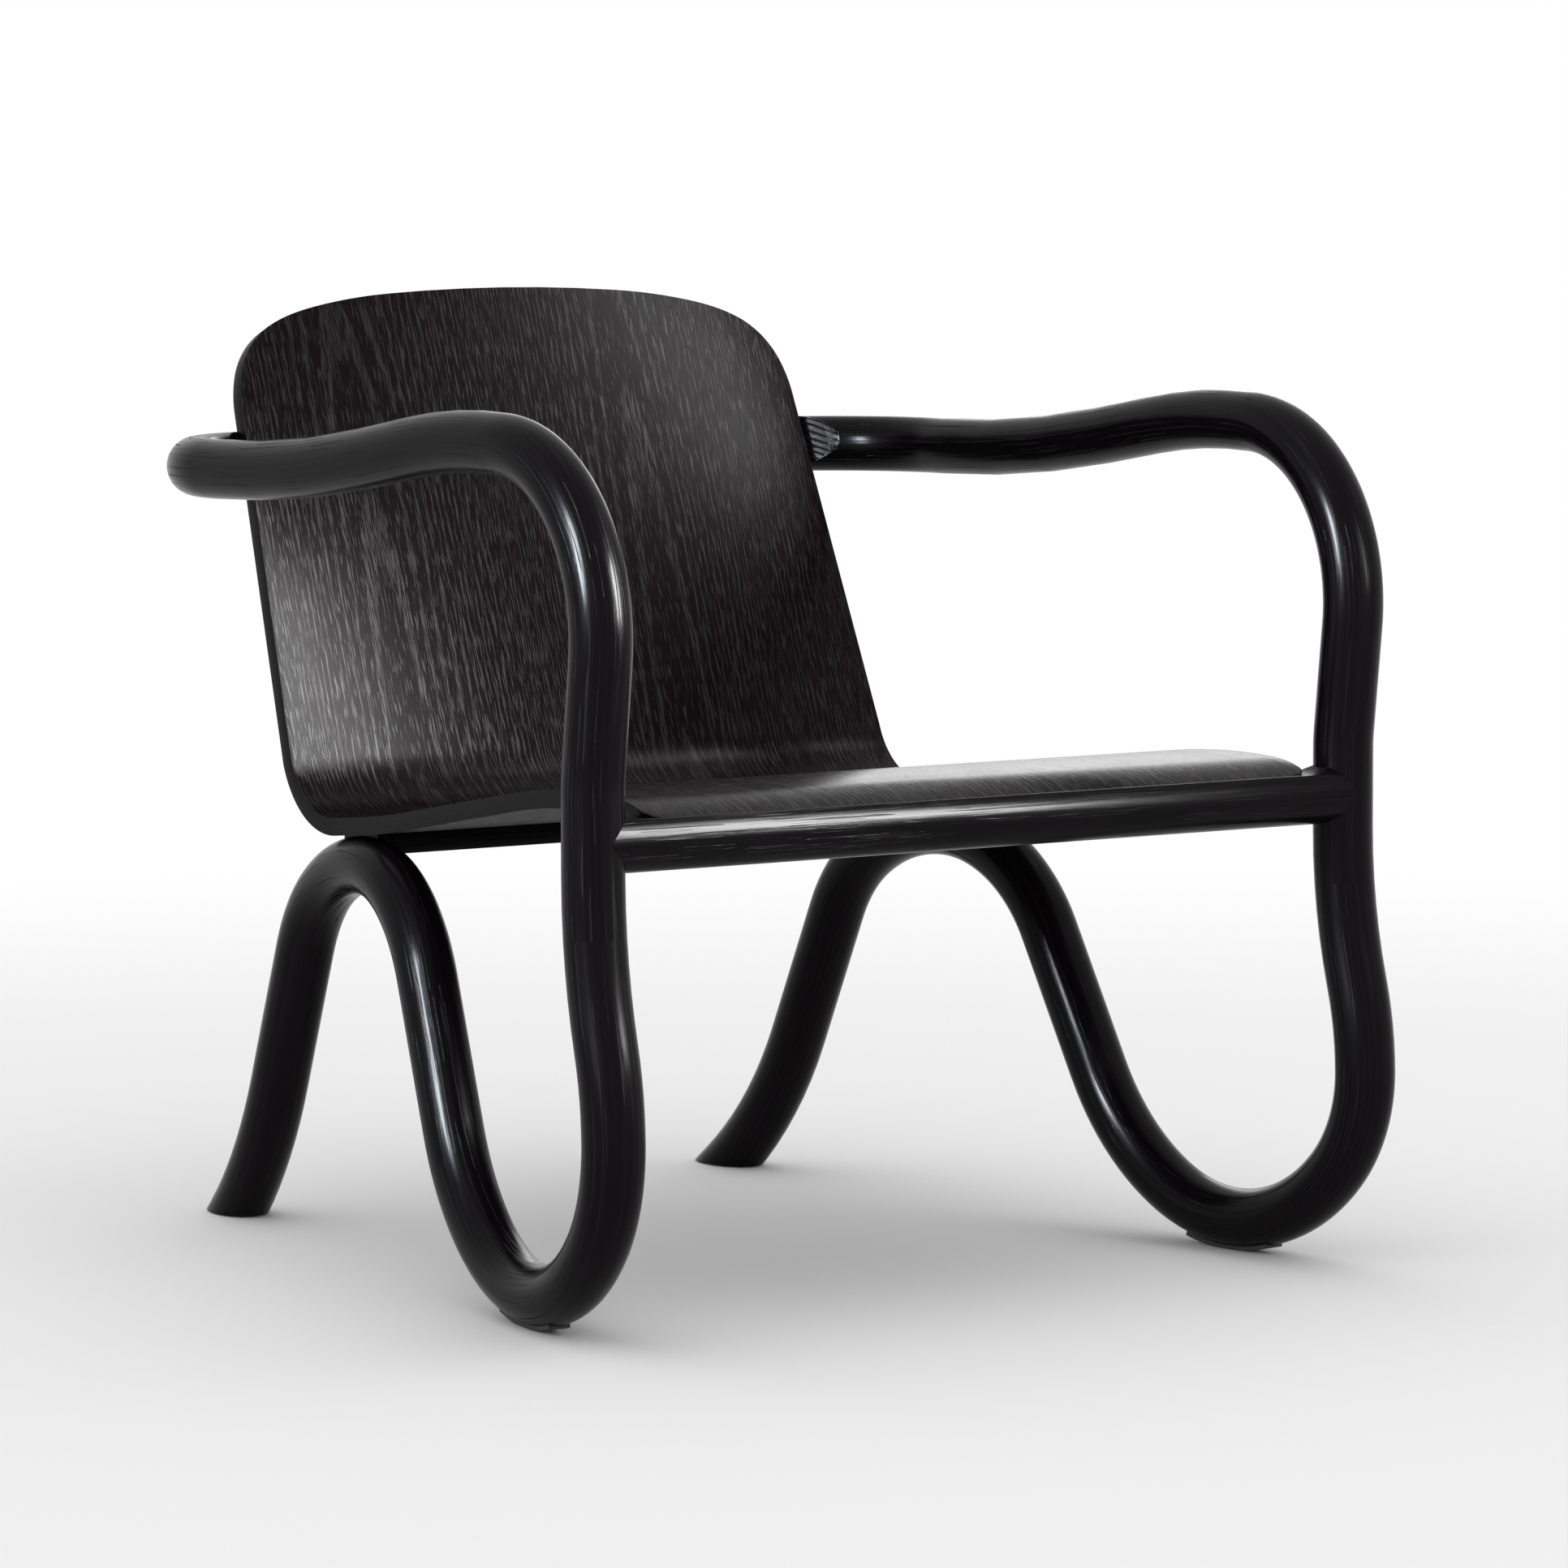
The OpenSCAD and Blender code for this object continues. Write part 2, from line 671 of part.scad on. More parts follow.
// Bolts and inserts. Z points from the shell's face to the bolt's head.
module bolt_hole(wood, sink) {
    translate([0, 0, -end_gap]) cylinder(r = bolt_d / 2 + hole_gap, h = wood + 2 * end_gap);
    translate([0, 0, wood - sink]) cylinder(r = bolt_head_d / 2 + hole_gap, h = sink + rod_d);
}
module bolt(wood, sink) {
    difference() {
        union() {
            translate([0, 0, -insert_len]) cylinder(d = bolt_d, h = insert_len + wood - sink);
            translate([0, 0, wood - sink]) cylinder(d = bolt_head_d, h = bolt_head_h);
        }
        translate([0, 0, wood - sink + bolt_head_h - bolt_socket_depth])
            cylinder(d = bolt_socket / cos(30), h = bolt_head_h, $fn = 6);
    }
}
module insert_hole() {
    translate([0, 0, -insert_len]) cylinder(r = insert_d / 2 + hole_gap, h = insert_len + end_gap);
}
module insert() {
    difference() {
        translate([0, 0, -insert_len]) cylinder(d = insert_d, h = insert_len);
        translate([0, 0, -insert_len - end_gap])
            cylinder(r = bolt_d / 2 + hole_gap, h = insert_len + 2 * end_gap);
    }
}
module seat_bolts() {
    color([0.2, 0.2, 0.2])
    in_chair() across() under_seat() bolt(slat_t, seat_bolt_sink);
}
module seat_inserts() {
    color([0.8, 0.68, 0.35])
    in_chair() across() under_seat() insert();
}
module back_bolts() {
    color([0.2, 0.2, 0.2])
    in_chair() across() behind_back() bolt(bar_flat_to_rear, back_bolt_sink);
}
module back_inserts() {
    color([0.8, 0.68, 0.35])
    in_chair() across() behind_back() insert();
}

seat_shell();
arm_hoop();
leg_frame_right();
leg_frame_left();
front_rail();
rear_rail();
leg_joint_dowels();
front_rail_dowels();
rear_rail_screws();
front_screws();
seat_bolts();
seat_inserts();
back_bolts();
back_inserts();
runner_glide_right();
runner_glide_left();
rear_foot_pad_right();
rear_foot_pad_left();
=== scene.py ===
import math

import bmesh
import bpy
from mathutils import Matrix, Vector
from mathutils.kdtree import KDTree


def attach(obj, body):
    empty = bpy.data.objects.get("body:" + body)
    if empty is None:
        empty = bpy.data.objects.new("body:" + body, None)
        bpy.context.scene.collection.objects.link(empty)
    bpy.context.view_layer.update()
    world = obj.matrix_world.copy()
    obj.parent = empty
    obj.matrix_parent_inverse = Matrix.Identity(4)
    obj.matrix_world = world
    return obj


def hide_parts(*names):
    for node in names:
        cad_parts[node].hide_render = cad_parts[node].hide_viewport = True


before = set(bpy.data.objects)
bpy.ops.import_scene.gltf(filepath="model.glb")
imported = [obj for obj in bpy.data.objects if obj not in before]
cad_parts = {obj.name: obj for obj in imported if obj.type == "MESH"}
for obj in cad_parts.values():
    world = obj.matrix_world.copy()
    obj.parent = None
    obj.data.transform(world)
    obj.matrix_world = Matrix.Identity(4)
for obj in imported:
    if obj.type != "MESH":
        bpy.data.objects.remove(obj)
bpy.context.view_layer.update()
print("frame loaded:", len(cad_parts), "nodes")

mm = 0.001  # shapes are written in millimetres and degrees; finishes, floor and lamps in metres
touching = 1e-6  # metres; points nearer to each other than this are one
arrisFrom = math.radians(60)  # edges get an arris only where their two faces turn by more than this

# where the front rail's axis lies in the chair
rail = {"y": -303.402, "z": 317.9, "rodRadius": 20, "legX": 293}


# camera, at the photograph's angle

photo = {"azimuth": -33.175, "elevation": 5.2132, "roll": -0.178, "pixels": 1932,
         "focalPixels": 8427.3, "centreX": -19.415, "centreY": -18.374,
         "target": (0, -53.402, 329.9), "distance": 4594.8, "sensor": 36, "farthest": 100}


def placeCamera(look):
    azimuth, elevation, roll = (math.radians(look[key]) for key in ("azimuth", "elevation", "roll"))
    level = math.cos(elevation)
    back = Vector((math.sin(azimuth) * level, -math.cos(azimuth) * level, math.sin(elevation)))
    right = Vector((math.cos(azimuth), math.sin(azimuth), 0))
    up = back.cross(right)
    right, up = math.cos(roll) * right + math.sin(roll) * up, math.cos(roll) * up - math.sin(roll) * right
    lens = bpy.data.cameras.new("camera")
    lens.sensor_width = look["sensor"]
    lens.lens = look["sensor"] * look["focalPixels"] / look["pixels"]
    lens.shift_x = -look["centreX"] / look["pixels"]
    lens.shift_y = look["centreY"] / look["pixels"]
    lens.clip_end = look["farthest"]
    spot = (Vector(look["target"]) + back * look["distance"]) * mm
    camera = bpy.data.objects.new("camera", lens)
    camera.matrix_world = Matrix.Translation(spot) @ Matrix((right, up, back)).transposed().to_4x4()
    bpy.context.scene.collection.objects.link(camera)
    bpy.context.scene.camera = camera


placeCamera(photo)
print("camera placed")


# places and bends

def shift(x, y, z):
    return Matrix.Translation((x * mm, y * mm, z * mm))


def turn(degrees, axis):
    return Matrix.Rotation(math.radians(degrees), 4, axis)


turnOver = turn(180, "X")
faceRear = Matrix(((0, 1, 0, 0), (0, 0, 1, 0), (1, 0, 0, 0), (0, 0, 0, 1)))  # a run's Z to the rear, its X up
inChair = shift(0, rail["y"], rail["z"])


# a run is made of steps (length, radius, angle, twist): a rod or a sheet travels along Z and bends toward X
def straight(length, twist=0):
    return length, 0, 0, twist


def bend(radius, angle, twist=0):
    return 0, radius, angle, twist


def alongRun(here, step):
    length, radius, angle, twist = step
    here = here @ turn(twist, "Z")
    if angle == 0:
        return here @ shift(0, 0, length)
    side = math.copysign(radius, angle)
    return here @ shift(side, 0, 0) @ turn(angle, "Y") @ shift(-side, 0, 0)


class Sweep:
    # carries a ring or a row of edges along a run, and remembers the line that it followed

    def __init__(self, start, maxTurn):
        self.bm = bmesh.new()
        self.here, self.maxTurn = start.copy(), maxTurn
        self.far = self.twisted = 0.0
        self.line = [(start.copy(), 0.0)]

    def round(self, radius, sides):
        bmesh.ops.create_circle(self.bm, cap_ends=False, radius=radius * mm, segments=sides, matrix=self.here)
        self.ring = list(self.bm.edges)

    def row(self, halfWidth, parts):
        ends = [self.bm.verts.new(self.here @ Vector((0, side * halfWidth * mm, 0))) for side in (-1, 1)]
        self.bm.edges.new(ends)
        bmesh.ops.subdivide_edges(self.bm, edges=self.bm.edges[:], cuts=parts - 1)
        self.ring = list(self.bm.edges)
        self.half = halfWidth

    def onward(self, made):
        # the new end of the sweep, out of all that an operator made
        verts = [item for item in made if isinstance(item, bmesh.types.BMVert)]
        fresh = set(verts)
        edges = [item for item in made if isinstance(item, bmesh.types.BMEdge)]
        self.ring = [edge for edge in edges if fresh.issuperset(edge.verts)]
        return verts

    def extrude(self, move):
        verts = self.onward(bmesh.ops.extrude_edge_only(self.bm, edges=self.ring)["geom"])
        bmesh.ops.translate(self.bm, vec=move, verts=verts)
        return verts

    def spin(self, before, radius, angle):
        centre = before @ Vector((math.copysign(radius, angle) * mm, 0, 0))
        verts = list(dict.fromkeys(vert for edge in self.ring for vert in edge.verts))
        spun = bmesh.ops.spin(self.bm, geom=self.ring + verts, cent=centre, axis=before.col[1].xyz,
                              angle=math.radians(angle), steps=1, use_merge=False)
        return self.onward(spun["geom_last"])

    def go(self, step, halfWidth=None):
        # halfWidth gives a row's half width at a place, where it changes
        length, radius, angle, twist = step
        self.here = self.here @ turn(twist, "Z")
        self.twisted += twist
        parts = max(1, math.ceil(abs(angle) / self.maxTurn))
        for part in range(parts):
            before = self.here.copy()
            self.here = alongRun(before, (length, radius, angle / parts, 0))
            if angle == 0:
                verts = self.extrude(self.here.translation - before.translation)
            else:
                verts = self.spin(before, radius, angle / parts)
            if halfWidth:
                new = halfWidth(self.here)
                bmesh.ops.scale(self.bm, vec=(new / self.half, 1, 1), verts=verts)
                self.half = new
            self.far += (length + abs(math.radians(angle / parts)) * radius) * mm
            self.line.append((self.here @ turn(-self.twisted, "Z"), self.far))

    def settle(self):
        bmesh.ops.remove_doubles(self.bm, verts=self.bm.verts[:], dist=touching)
        bmesh.ops.recalc_face_normals(self.bm, faces=self.bm.faces[:])


# work on meshes

def allOf(bm):
    return bm.verts[:] + bm.edges[:] + bm.faces[:]


def cutOff(bm, geom, point, outward):
    bmesh.ops.bisect_plane(bm, geom=geom, dist=touching, plane_co=point, plane_no=outward, clear_outer=True)


def fillEnds(bm):
    bmesh.ops.holes_fill(bm, edges=[edge for edge in bm.edges if edge.is_boundary], sides=0)


def takeArris(bm, edges, width, clamped=False):
    bmesh.ops.bevel(bm, geom=edges, offset=width * mm, segments=3, profile=0.5, affect="EDGES", material=-1,
                    clamp_overlap=clamped)


def newPiece(name, bm):
    mesh = bpy.data.meshes.new(name)
    bm.to_mesh(mesh)
    bm.free()
    piece = bpy.data.objects.new(name, mesh)
    bpy.context.scene.collection.objects.link(piece)
    return piece


def cutAway(piece, *cutters):
    # takes each cutter out of the piece and throws the cutters away
    for cutter in cutters:
        saw = piece.modifiers.new("cut", "BOOLEAN")
        saw.operation, saw.solver, saw.object = "DIFFERENCE", "EXACT", cutter
    bpy.context.view_layer.update()
    shaped = bpy.data.meshes.new_from_object(piece.evaluated_get(bpy.context.evaluated_depsgraph_get()))
    piece.modifiers.clear()
    old, piece.data = piece.data, shaped
    shaped.name = piece.name
    bpy.data.meshes.remove(old)
    for cutter in cutters:
        bpy.data.objects.remove(cutter)


def block(name, place, low, high):
    bm = bmesh.new()
    size = [(top - bottom) * mm for bottom, top in zip(low, high)]
    middle = [(top + bottom) / 2 for bottom, top in zip(low, high)]
    bmesh.ops.create_cube(bm, size=1, matrix=place @ shift(*middle) @ Matrix.Diagonal(size + [1]))
    bmesh.ops.recalc_face_normals(bm, faces=bm.faces[:])
    return newPiece(name, bm)


def mirrorImage(piece, name):
    bm = bmesh.new()
    bm.from_mesh(piece.data)
    bmesh.ops.scale(bm, vec=(-1, 1, 1), verts=bm.verts[:])
    bmesh.ops.recalc_face_normals(bm, faces=bm.faces[:])
    return newPiece(name, bm)


def softShade(piece, sharpest):
    # smooth faces, with sharp edges where two faces meet at more than this angle
    bm = bmesh.new()
    bm.from_mesh(piece.data)
    for face in bm.faces:
        face.smooth = True
    for edge in bm.edges:
        edge.smooth = edge.calc_face_angle(0) < math.radians(sharpest)
    bm.to_mesh(piece.data)
    bm.free()


def nearestOn(line):
    # gives a function that finds which place on a swept line is nearest to a point
    tree = KDTree(len(line))
    for i, (place, far) in enumerate(line):
        tree.insert(place.translation, i)
    tree.balance()
    return lambda point: tree.find(point)[1]


def growGrain(piece, line, sheet=False, middle=None, start=0.0):
    # writes where each point would be in the straight wood, as (across, across, along) in metres;
    # a sheet is looked up by its section alone, and a rod that is bent alike on both sides of its middle
    # is looked up on its right side and counted on past the middle
    nearest = nearestOn(line)
    unbent = [(place.inverted(), far) for place, far in line]
    grain = piece.data.attributes.new("grain", "FLOAT_VECTOR", "POINT")
    for vert, value in zip(piece.data.vertices, grain.data):
        point = vert.co.copy()
        if middle:
            point.x = -abs(point.x)
        place, far = unbent[nearest(Vector((0, point.y, point.z)) if sheet else point)]
        wood = place @ point
        along = far + wood.z
        if middle and vert.co.x > 0:
            along = 2 * middle - along
        value.vector = (wood.x, wood.y, along + start)


# bent rods

rodLook = {"sides": 56, "maxTurn": 3.0, "sharpest": 35}
legLook = {"belowSeat": 22, "rake": (370, 16.5), "joint": 6, "shin": (210, 16), "toe": (101, 42.5, 5),
           "runner": (131, 76.5), "rise": (168, 34.5, 2.5), "limb": 105.864, "archFront": (118, 62.5, 2),
           "archTop": (141, 33), "haunch": (109, 32.5), "rearLeg": 106, "kick": (290, 26.5),
           "toeIn": 2.5, "sawnAt": 1.2, "offcut": 80}
hoopLook = {"stub": 30, "lean": (100, 7), "post": 70, "hand": (117, 94), "fall": (550, 11.5), "arm": 61,
            "level": 1350, "tail": 4.155, "wrap": 100, "splay": 0.5}
flatLook = {"depth": 7.4, "recline": 21, "edge": 230.638, "barY": 575.691, "barZ": 213.631, "reach": 60,
            "rampAngle": 45, "runout": 112, "runoutSides": 160, "runoutLength": 100, "overlap": 0.02}

# metres along the grain at which each piece starts, so that no two show the same streaks
woodStart = {"right": 3.0, "left": 5.37, "frontRail": 7.1, "rearRail": 8.3}

# where the leg and the hoop meet, in the axis of both
jointFrame = inChair @ shift(-rail["legX"], 0, 0) @ turn(90 - legLook["toeIn"], "Z") @ turnOver
for step in (straight(legLook["belowSeat"]), bend(legLook["rake"][0], -legLook["joint"])):
    jointFrame = alongRun(jointFrame, step)


def bentLeg(look):
    rod = Sweep(jointFrame, rodLook["maxTurn"])
    rod.round(rail["rodRadius"], rodLook["sides"])
    for step in (
        bend(look["rake"][0], look["joint"] - look["rake"][1]), bend(*look["shin"]), bend(*look["toe"]),
        bend(*look["runner"]), bend(*look["rise"]), straight(look["limb"]),
        bend(look["archFront"][0], -look["archFront"][1], -look["archFront"][2]),
        bend(look["archTop"][0], -look["archTop"][1]), bend(look["haunch"][0], -look["haunch"][1]),
        straight(look["rearLeg"]), bend(*look["kick"]), straight(look["offcut"]),
    ):
        rod.go(step)
    # the foot is sawn level, just above its pad
    cutOff(rod.bm, allOf(rod.bm), (0, 0, look["sawnAt"] * mm), (0, 0, -1))
    fillEnds(rod.bm)
    rod.settle()
    return rod


def bentHoop(look):
    rod = Sweep(jointFrame @ turnOver, rodLook["maxTurn"])
    rod.round(rail["rodRadius"], rodLook["sides"])
    down = 90 + look["lean"][1] - look["hand"][1] - look["fall"][1]
    for step in (
        bend(legLook["rake"][0], -legLook["joint"]), straight(legLook["belowSeat"]),
        straight(look["stub"], look["splay"] + legLook["toeIn"]), bend(look["lean"][0], -look["lean"][1]),
        straight(look["post"]), bend(*look["hand"]), bend(*look["fall"]), straight(look["arm"]),
        bend(look["level"], down), straight(look["tail"]), bend(look["wrap"], 90 + look["splay"], -90),
    ):
        rod.go(step)
    rod.go(straight(abs(rod.here.translation.x) / mm))  # half of the back bar, up to the middle
    bmesh.ops.mirror(rod.bm, geom=allOf(rod.bm), matrix=Matrix.Identity(4), axis="X",
                     merge_dist=10 * touching)
    fillEnds(rod.bm)
    rod.settle()
    return rod


def runoutCutter(look, place, side):
    # a big wheel's rim, which lets one end of the flat run out in a hollow
    hub = place @ Matrix.Diagonal((side, 1, 1, 1)) @ shift(-look["edge"], 0, 0) @ turn(look["rampAngle"], "Z")
    bm = bmesh.new()
    bmesh.ops.create_cone(bm, cap_ends=True, segments=look["runoutSides"], radius1=look["runout"] * mm,
                          radius2=look["runout"] * mm, depth=look["runoutLength"] * mm,
                          matrix=hub @ shift(0, -look["runout"], 0))
    flatEnd = place @ Vector((side * (look["overlap"] - look["edge"]) * mm, 0, 0))
    cutOff(bm, allOf(bm), flatEnd, (side, 0, 0))
    fillEnds(bm)
    bmesh.ops.recalc_face_normals(bm, faces=bm.faces[:])
    return newPiece("runout", bm)


def flatCutters(look):
    # the back bar is planed flat where the shell's back lies on it
    place = (inChair @ shift(0, look["barY"], look["barZ"]) @ turn(-look["recline"], "X")
             @ shift(0, look["depth"] - rail["rodRadius"], 0))
    reach = look["reach"]
    flat = block("flat", place, (-look["edge"], -reach, -reach), (look["edge"], 0, reach))
    return [flat] + [runoutCutter(look, place, side) for side in (-1, 1)]


hoopRod = bentHoop(hoopLook)
armHoop = newPiece("armHoop", hoopRod.bm)
cutAway(armHoop, *flatCutters(flatLook))
growGrain(armHoop, hoopRod.line, middle=hoopRod.far)
softShade(armHoop, rodLook["sharpest"])
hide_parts("arm_hoop")
print("arm hoop bent:", round(2 * hoopRod.far / mm), "mm of rod,", len(armHoop.data.polygons), "faces")

legRod = bentLeg(legLook)
legRight = newPiece("legFrameRight", legRod.bm)
growGrain(legRight, legRod.line, start=woodStart["right"])
softShade(legRight, rodLook["sharpest"])
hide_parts("leg_frame_right")

legLeft = mirrorImage(legRight, "legFrameLeft")
for value in legLeft.data.attributes["grain"].data:
    value.vector = value.vector + Vector((0, 0, woodStart["left"] - woodStart["right"]))
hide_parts("leg_frame_left")
print("leg frames bent:", len(legRight.data.polygons), "faces each")


# moulded shell

shellLook = {"ply": 12, "frontReach": 9, "flatZ": 14, "frontWidth": 516, "foldWidth": 483, "frontCorner": 11,
             "slope": 25, "nose": (105, 22), "roll": 630, "seatSlope": 9.5, "seat": 159, "dish": 650,
             "restSlope": 5.5, "rest": 47, "fold": 56, "recline": 21, "back": 337, "taper": 3.3,
             "crown": (1358.14, 4), "brow": (418, 8.5), "shoulder": (195, 5.5), "turn": (114, 10),
             "corner": (62, 42), "side": 92, "arris": 0.9, "ahead": 4, "bareEnd": (3, 0.5),
             "rebateReach": (400, 200, 300), "rebateGap": 0.1, "across": 60, "maxTurn": 1.5, "cornerTurn": 6,
             "sharpest": 40, "edgeFacing": 0.45}


def shellRun(look):
    # the sitting face's section, from a little before the front end to past the top of the back
    return {
        "ahead": straight(look["ahead"]),
        "nose": bend(look["nose"][0], -look["nose"][1]),
        "roll": bend(look["roll"], look["nose"][1] - look["slope"] - look["seatSlope"]),
        "seat": straight(look["seat"]),
        "dish": bend(look["dish"], look["seatSlope"] - look["restSlope"]),
        "rest": straight(look["rest"]),
        "fold": bend(look["fold"], 90 + look["restSlope"] - look["recline"]),
        "back": straight(look["back"] + look["ply"]),
    }


class MouldedSheet(Sweep):
    # a row swept along the shell's section, whose faces remember the stretch that they were made in

    def __init__(self, start, look):
        super().__init__(start, look["maxTurn"])
        self.run = shellRun(look)
        self.number = {name: i + 1 for i, name in enumerate(self.run)}
        self.frontHalf = look["frontWidth"] / 2
        self.frontY = rail["y"] - look["frontReach"]
        foldStart = start
        for name in ("ahead", "nose", "roll", "seat", "dish", "rest"):
            foldStart = alongRun(foldStart, self.run[name])
        depth = foldStart.translation.y / mm - self.frontY
        self.narrowing = (look["frontWidth"] - look["foldWidth"]) / 2 / depth
        self.row(self.seatHalf(start), look["across"])
        self.stretch = self.bm.faces.layers.int.new("stretch")

    def seatHalf(self, here):
        return self.frontHalf - self.narrowing * (here.translation.y / mm - self.frontY)

    def lay(self, name, halfWidth):
        known = set(self.bm.faces)
        self.go(self.run[name], halfWidth)
        for face in self.bm.faces:
            if face not in known:
                face[self.stretch] = self.number[name]

    def facesOf(self, *names):
        numbers = [self.number[name] for name in names]
        return [face for face in self.bm.faces if face[self.stretch] in numbers]

    def trim(self, names, point, outward):
        faces = self.facesOf(*names)
        edges = [edge for face in faces for edge in face.edges]
        verts = [vert for face in faces for vert in face.verts]
        cutOff(self.bm, list(dict.fromkeys(verts + edges + faces)), point, outward)


def roundFront(sheet, look):
    # the two front corners, rounded as seen from above
    r = look["frontCorner"]
    for side in (-1, 1):
        hub = Vector((side * (look["frontWidth"] / 2 - sheet.narrowing * r - r), sheet.frontY + r, 0))
        for angle in range(look["cornerTurn"], 90, look["cornerTurn"]):
            reach = Vector((side * math.cos(math.radians(angle)), -math.sin(math.radians(angle)), 0))
            sheet.trim(("ahead", "nose"), (hub + reach * r) * mm, reach)


def roundTop(sheet, look, foot):
    # the top of the back, arc after arc from the middle of the crown to the side edges
    arcs = [look["crown"], look["brow"], look["shoulder"], look["turn"], look["corner"]]
    arcs.append((look["side"], 90 - look["taper"] - sum(angle for _, angle in arcs)))
    aside, high, heading = 0.0, look["back"], 0.0
    for radius, angle in arcs:
        begin, end = math.radians(heading), math.radians(heading + angle)
        hubAside, hubHigh = aside - radius * math.sin(begin), high - radius * math.cos(begin)
        parts = math.ceil(angle / look["maxTurn"])
        for part in range(parts):
            lean = math.radians(heading + angle * (part + 0.5) / parts)
            y, z = hubAside + radius * math.sin(lean), hubHigh + radius * math.cos(lean)
            for side in (-1, 1):
                outward = Vector((0, side * math.sin(lean), math.cos(lean)))
                sheet.trim(("back",), foot @ Vector((0, side * y * mm, z * mm)), foot.to_3x3() @ outward)
        heading += angle
        aside, high = hubAside + radius * math.sin(end), hubHigh + radius * math.cos(end)


def pressPlies(sheet, look):
    # the plies go on below the sitting face
    sheet.settle()
    bm = sheet.bm
    if sum(face.normal.z for face in sheet.facesOf("seat", "rest")) < 0:
        bmesh.ops.reverse_faces(bm, faces=bm.faces[:])
    bmesh.ops.solidify(bm, geom=bm.faces[:], thickness=look["ply"] * mm)
    bmesh.ops.recalc_face_normals(bm, faces=bm.faces[:])
    # the rim gets its arris, but for the edges of the front end, which the rail's flat takes away
    behind, below = look["bareEnd"]
    bareEnd = inChair @ shift(0, behind - look["frontReach"], look["flatZ"] - below)
    endY, endZ = bareEnd.translation.yz
    rim = [edge for edge in bm.edges if edge.calc_face_angle(0) > arrisFrom
           and any(vert.co.z >= endZ or vert.co.y >= endY for vert in edge.verts)]
    takeArris(bm, rim, look["arris"], clamped=True)


def mouldedShell(look):
    start = inChair @ shift(0, -look["frontReach"], look["flatZ"]) @ faceRear @ turn(look["slope"], "Y")
    sheet = MouldedSheet(start @ shift(0, 0, -look["ahead"]), look)
    for name in ("ahead", "nose", "roll", "seat", "dish", "rest"):
        sheet.lay(name, sheet.seatHalf)
    sheet.lay("fold", lambda here: look["foldWidth"] / 2)
    foot = sheet.here.copy()
    topHalf = look["foldWidth"] / 2 - math.tan(math.radians(look["taper"])) * (look["back"] + look["ply"])
    sheet.lay("back", lambda here: topHalf)
    roundFront(sheet, look)
    roundTop(sheet, look, foot)
    pressPlies(sheet, look)
    return sheet


def rebateCutter(look):
    # what the front rail, with its flat, takes out of the shell's front end
    sides, ahead, below = look["rebateReach"]
    return block("rebate", inChair, (-sides, -ahead, -below),
                 (sides, rail["rodRadius"] + look["rebateGap"], look["flatZ"]))


shellSheet = mouldedShell(shellLook)
seatShell = newPiece("seatShell", shellSheet.bm)
cutAway(seatShell, rebateCutter(shellLook))
growGrain(seatShell, shellSheet.line, sheet=True)
softShade(seatShell, shellLook["sharpest"])
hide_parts("seat_shell")
low, high = ([round(c, 4) for c in seatShell.bound_box[i]] for i in (0, 6))
print("shell moulded:", len(seatShell.data.polygons), "faces, from", low, "to", high)


# rails and small pieces, as the CAD has them, with smooth round faces

copyLook = {"join": 0.002, "flatWithin": 0.5, "sharpest": 30, "railArris": 1.2, "longFrom": 300}


def smoothCopy(node, name, arris=None):
    look = copyLook
    bm = bmesh.new()
    bm.from_mesh(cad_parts[node].data)
    bmesh.ops.remove_doubles(bm, verts=bm.verts[:], dist=look["join"] * mm)
    bmesh.ops.recalc_face_normals(bm, faces=bm.faces[:])
    if arris:
        # only a board's long edges, once its flat faces are whole again
        bmesh.ops.dissolve_limit(bm, angle_limit=math.radians(look["flatWithin"]), verts=bm.verts[:],
                                 edges=bm.edges[:])
        takeArris(bm, [edge for edge in bm.edges if edge.calc_length() > look["longFrom"] * mm
                       and edge.calc_face_angle(0) > arrisFrom], arris)
    piece = newPiece(name, bm)
    piece.data.materials.clear()
    softShade(piece, look["sharpest"])
    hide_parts(node)
    return piece


frontRail = smoothCopy("front_rail", "frontRail")
rearRail = smoothCopy("rear_rail", "rearRail", copyLook["railArris"])
for piece, start in ((frontRail, woodStart["frontRail"]), (rearRail, woodStart["rearRail"])):
    grain = piece.data.attributes.new("grain", "FLOAT_VECTOR", "POINT")
    for vert, value in zip(piece.data.vertices, grain.data):
        value.vector = (vert.co.y - rail["y"] * mm, vert.co.z - rail["z"] * mm, vert.co.x + start)

smallParts = {
    "leg_joint_dowels": ("legJointDowels", "plain_dowel"),
    "front_rail_dowels": ("frontRailDowels", "plain_dowel"),
    "rear_rail_screws": ("rearRailScrews", "zinc_screw"),
    "front_screws": ("frontScrews", "zinc_screw"),
    "seat_bolts": ("seatBolts", "black_bolt"),
    "back_bolts": ("backBolts", "black_bolt"),
    "seat_inserts": ("seatInserts", "brass_insert"),
    "back_inserts": ("backInserts", "brass_insert"),
    "runner_glide_right": ("runnerGlideRight", "black_glide"),
    "runner_glide_left": ("runnerGlideLeft", "black_glide"),
    "rear_foot_pad_right": ("rearFootPadRight", "black_glide"),
    "rear_foot_pad_left": ("rearFootPadLeft", "black_glide"),
}
smallPieces = {node: smoothCopy(node, name) for node, (name, _) in smallParts.items()}
print("rails and small pieces done")


# materials

